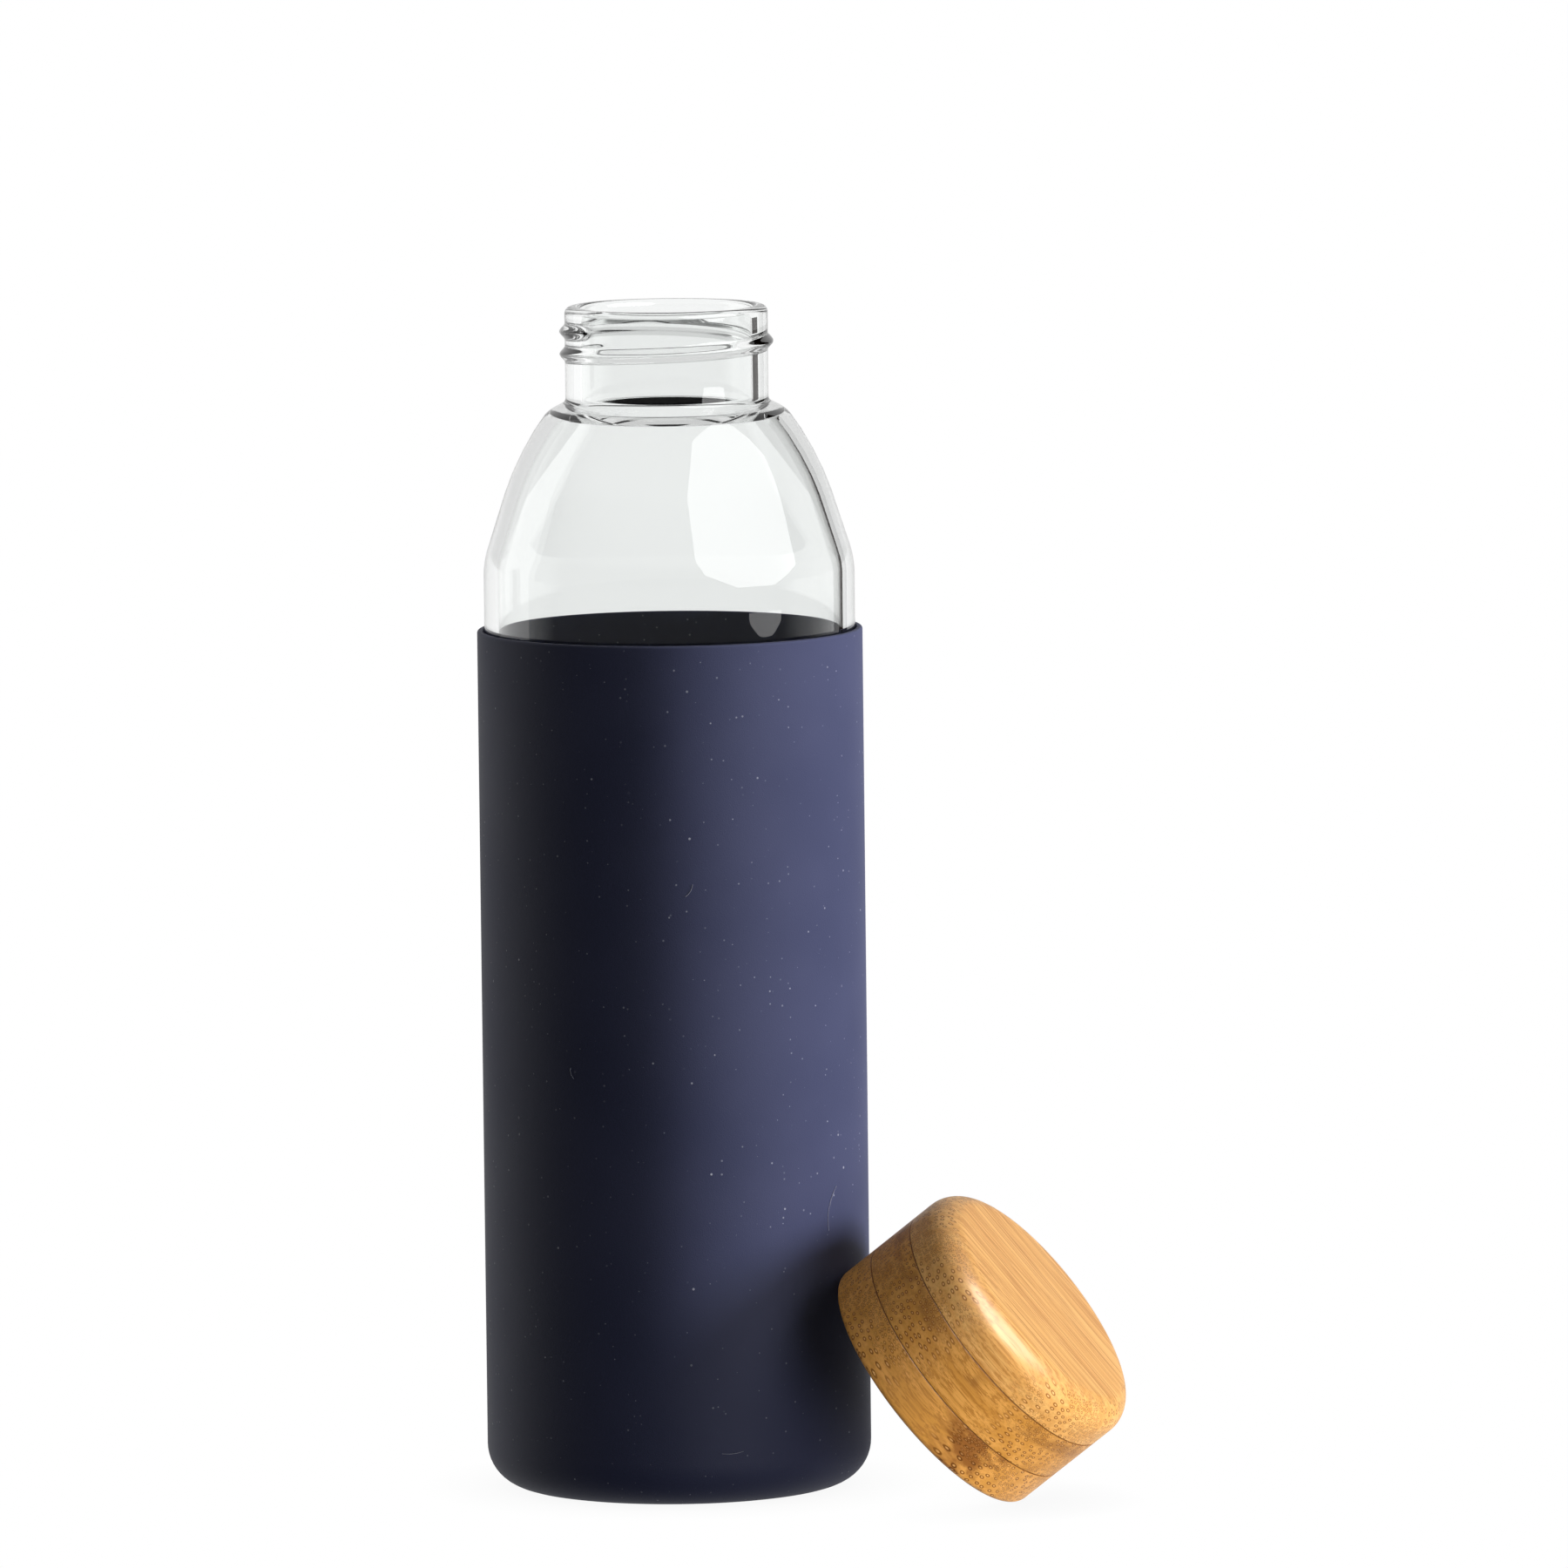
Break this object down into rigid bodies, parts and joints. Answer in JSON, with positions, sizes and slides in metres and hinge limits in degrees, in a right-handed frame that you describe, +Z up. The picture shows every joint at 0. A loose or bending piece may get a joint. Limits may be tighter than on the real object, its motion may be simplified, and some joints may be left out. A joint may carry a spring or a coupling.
{
  "type": "glass water bottle",
  "caption": "Clear glass water bottle in a navy silicone sleeve, with its laminated bamboo screw cap off and leaning against the sleeve.",
  "frame": {"origin": "middle of the sleeve's underside, on the floor", "axes": "+Z up along the bottle's axis, +X towards the side where the cap leans, -Y towards the viewer"},
  "size_m": [0.1131, 0.086, 0.2098],
  "materials": {
    "clear_glass": "polished",
    "navy_silicone": "matte",
    "bamboo_top": "satin",
    "bamboo_middle": "satin",
    "bamboo_bottom": "satin",
    "liner_plastic": "satin",
    "seal_silicone": "matte"
  },
  "bodies": {
    "sleeve": {"silicone_sleeve": "navy_silicone"},
    "glass": {"glass_bottle": "clear_glass"},
    "seal": {"cap_seal": "seal_silicone"},
    "cap": {"cap_top_layer": "bamboo_top", "cap_middle_layer": "bamboo_middle", "cap_bottom_layer": "bamboo_bottom", "cap_liner": "liner_plastic"}
  },
  "joints": [
    {"name": "bottle_lift", "type": "slide", "parent": "sleeve", "child": "glass", "axis": [0, 0, 1], "range_m": [0, 0.1547]},
    {"name": "cap_carry", "type": "hinge", "parent": "sleeve", "child": "seal", "pos_m": [-0.30656, 0.08335, 0.13409], "axis": [-0.2798, -0.9597, 0.0268], "range_deg": [0, 51.62]},
    {"name": "cap_turn", "type": "hinge", "parent": "seal", "child": "cap", "pos_m": [0.04467, -0.02227, 0.01942], "axis": [0.7494, -0.2291, 0.6211], "range_deg": [0, 360]}
  ]
}
